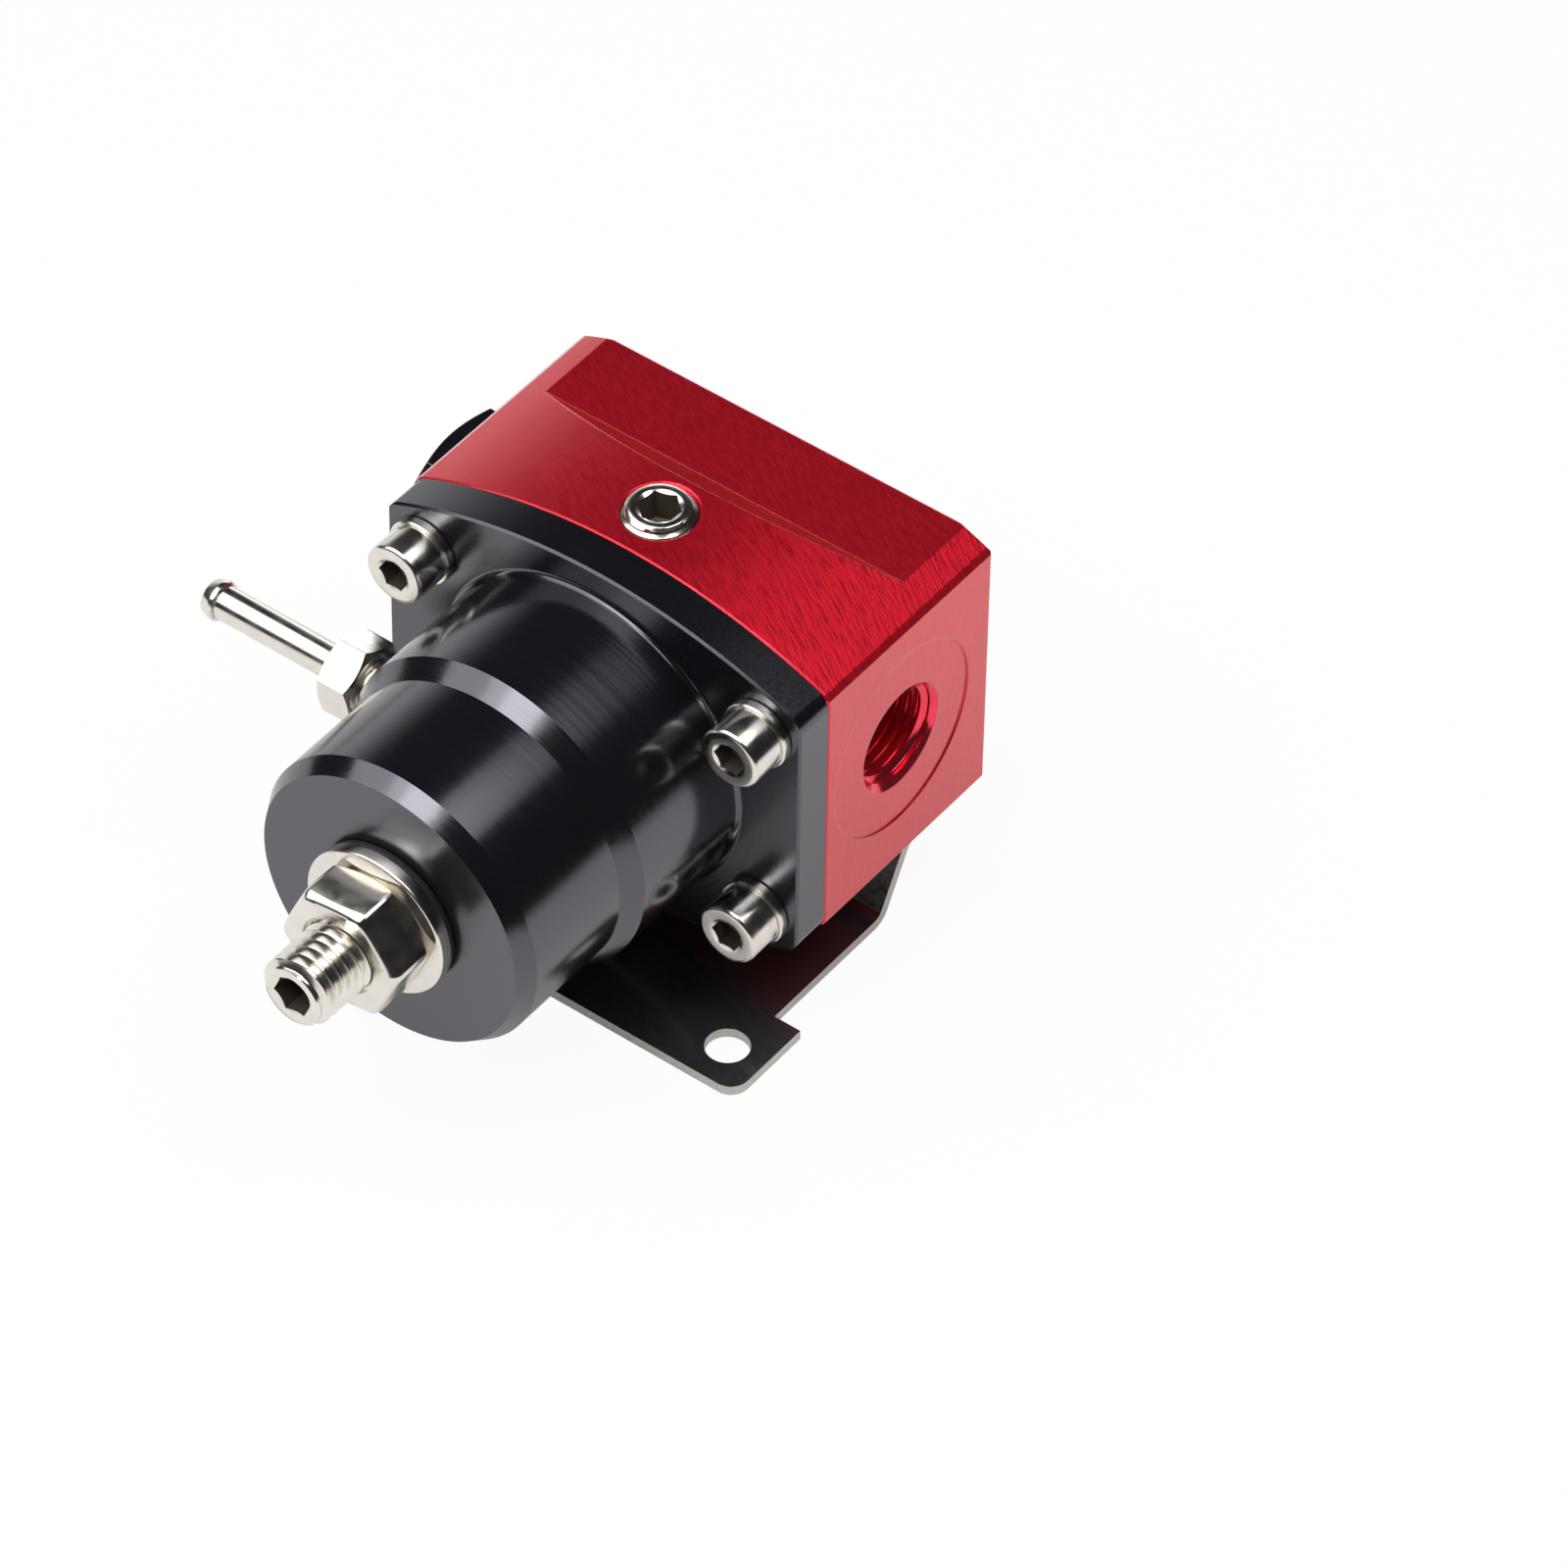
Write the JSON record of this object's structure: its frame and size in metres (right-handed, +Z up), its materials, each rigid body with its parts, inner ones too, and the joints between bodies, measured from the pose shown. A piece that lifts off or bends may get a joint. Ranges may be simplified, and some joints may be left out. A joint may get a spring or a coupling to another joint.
{
  "type": "fuel pressure regulator",
  "caption": "Adjustable fuel pressure regulator with a crowned anodised body, turned bonnet, adjusting screw and jam nut, vacuum nipple and sheet bracket",
  "frame": {"origin": "midway between the two bracket holes, on the underside of the bracket plate", "axes": "+X out of the open side port, +Y towards the return port along the bonnet's axis, +Z up from the bracket plate"},
  "size_m": [0.0857, 0.0972, 0.0605],
  "materials": {
    "red_anodised": "machined, polished and anodised red",
    "black_anodised": "turned, polished and anodised black",
    "nickel_plate": "bright nickel plate on steel",
    "zinc_steel": "turned steel, clear zinc plate",
    "spring_steel": "drawn spring wire with ground ends",
    "dark_steel": "black oxide steel",
    "brass": "turned brass",
    "rubber": "moulded fuel-proof rubber",
    "black_coat": "pressed steel sheet, semi-gloss black coat"
  },
  "bodies": {
    "housing": {"body": "red_anodised", "bonnet": "black_anodised", "diaphragm": "rubber", "valve_seat": "brass", "nut_seal": "rubber", "cap_screws": "nickel_plate", "cap_screw_washers": "nickel_plate", "vacuum_nipple": "nickel_plate", "gauge_port_plug": "nickel_plate", "inlet_port_plug": "black_anodised", "inlet_plug_o_ring": "rubber", "mounting_bracket": "black_coat", "bracket_screws": "dark_steel"},
    "diaphragm_stack": {"spring_cup": "zinc_steel", "valve_plate": "zinc_steel", "diaphragm_nut": "zinc_steel", "valve_disc": "zinc_steel", "main_spring": "spring_steel"},
    "spring_seat": {"spring_button": "zinc_steel"},
    "adjuster": {"adjusting_screw": "nickel_plate"},
    "nut_carrier": {"nut_washer": "nickel_plate"},
    "lock_nut": {"jam_nut": "nickel_plate"}
  },
  "joints": [
    {"name": "button_slide", "type": "slide", "parent": "housing", "child": "spring_seat", "axis": [0, 1, 0], "range_m": [-0.0015, 0.006], "deforming": ["main_spring"]},
    {"name": "screw_turn", "type": "hinge", "parent": "spring_seat", "child": "adjuster", "pos_m": [0, 0, 0.033], "axis": [0, 1, 0], "range_deg": [-360, 1440]},
    {"name": "washer_slide", "type": "slide", "parent": "housing", "child": "nut_carrier", "axis": [0, 1, 0], "range_m": [-0.0045, 0]},
    {"name": "nut_turn", "type": "hinge", "parent": "nut_carrier", "child": "lock_nut", "pos_m": [0, 0, 0.033], "axis": [0, 1, 0], "range_deg": [-1080, 0]},
    {"name": "valve_lift", "type": "slide", "parent": "housing", "child": "diaphragm_stack", "axis": [0, -1, 0], "range_m": [0, 0.0012], "stiffness_N_per_m": 4000, "springref_m": -0.01, "deforming": ["diaphragm"]}
  ],
  "couplings": [
    {"joint": "screw_turn", "follows": "button_slide", "rad_per_m": 4188.8},
    {"joint": "nut_turn", "follows": "washer_slide", "rad_per_m": 4188.8}
  ]
}
